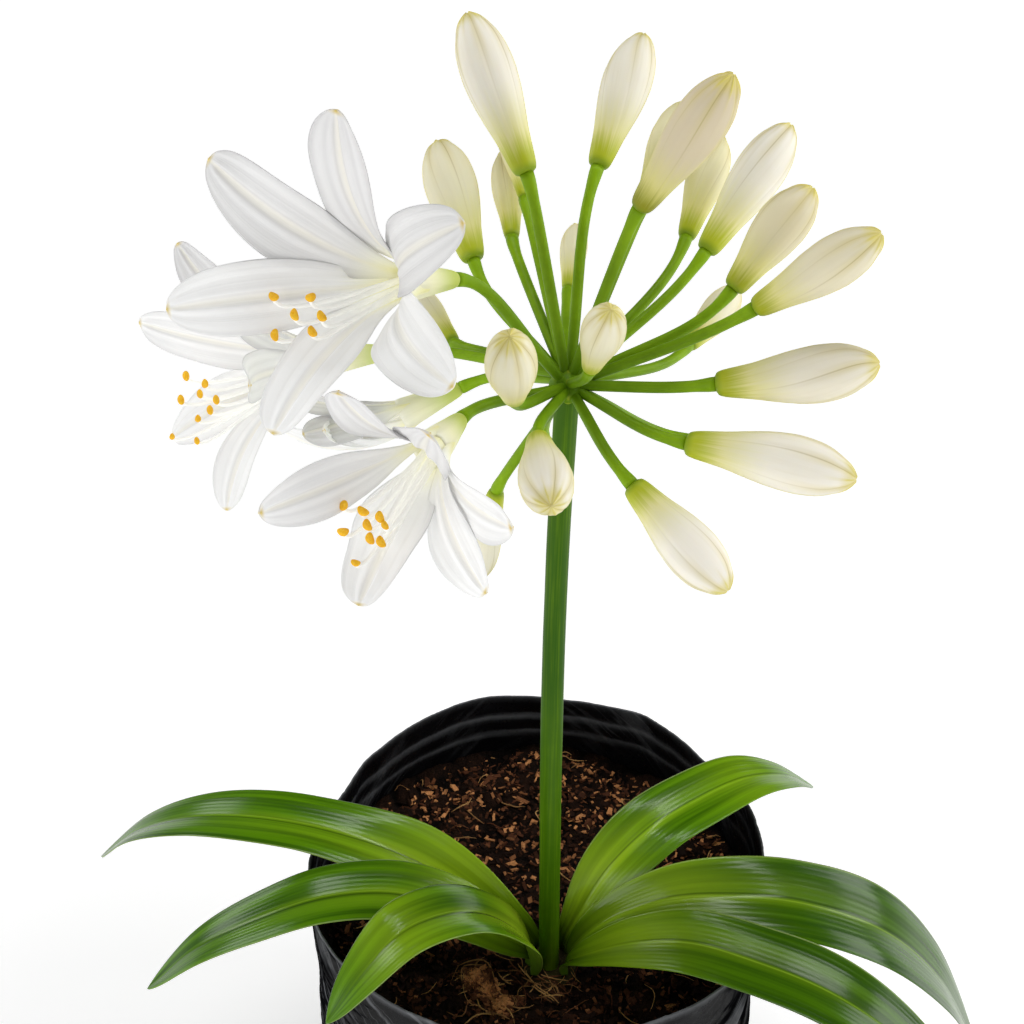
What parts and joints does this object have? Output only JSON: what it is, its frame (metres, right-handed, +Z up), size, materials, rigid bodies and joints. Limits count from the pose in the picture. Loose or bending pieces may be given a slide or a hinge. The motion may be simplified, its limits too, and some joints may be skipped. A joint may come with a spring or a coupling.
{
  "type": "potted agapanthus",
  "caption": "White agapanthus in a black grow bag: arching strap leaves round a tall stem that carries a round umbel of open flowers and buds.",
  "frame": {"origin": "centre of the flat bottom of the grow bag, on the surface it stands on", "axes": "+Z up along the flower stem, -Y toward the front, where the leaves fan out to both sides, +X to the right seen from the front"},
  "size_m": [0.3283, 0.2022, 0.4366],
  "materials": {
    "polythene": "glossy black film with creases",
    "potting_mix": "dark moist compost with coir chips and fibres",
    "rhizome": "rough brown-green crown",
    "stem": "smooth satin green",
    "leaf": "smooth glossy green with fine parallel veins",
    "bud": "waxy cream white with yellow-green base and seams",
    "petal": "soft satin white"
  },
  "bodies": {
    "root": {"grow_bag": "polythene", "soil": "potting_mix", "crown": "rhizome", "scape": "stem", "leaf_left_back": "leaf", "leaf_left": "leaf", "leaf_left_front": "leaf", "leaf_right_back": "leaf", "leaf_right": "leaf", "leaf_right_front": "leaf", "bud_01": "bud", "bud_02": "bud", "bud_03": "bud", "bud_04": "bud", "bud_05": "bud", "bud_06": "bud", "bud_07": "bud", "bud_08": "bud", "bud_09": "bud", "bud_10": "bud", "bud_11": "bud", "bud_12": "bud", "bud_13": "bud", "bud_14": "bud", "bud_15": "bud", "bud_16": "bud", "bud_17": "bud", "bud_18": "bud", "bud_19": "bud", "bud_20": "bud", "bud_21": "bud", "bud_22": "bud", "bud_23": "bud", "bud_24": "bud", "flower_upper": "petal", "flower_left": "petal", "flower_front": "petal", "flower_inner": "petal"}
  },
  "joints": []
}
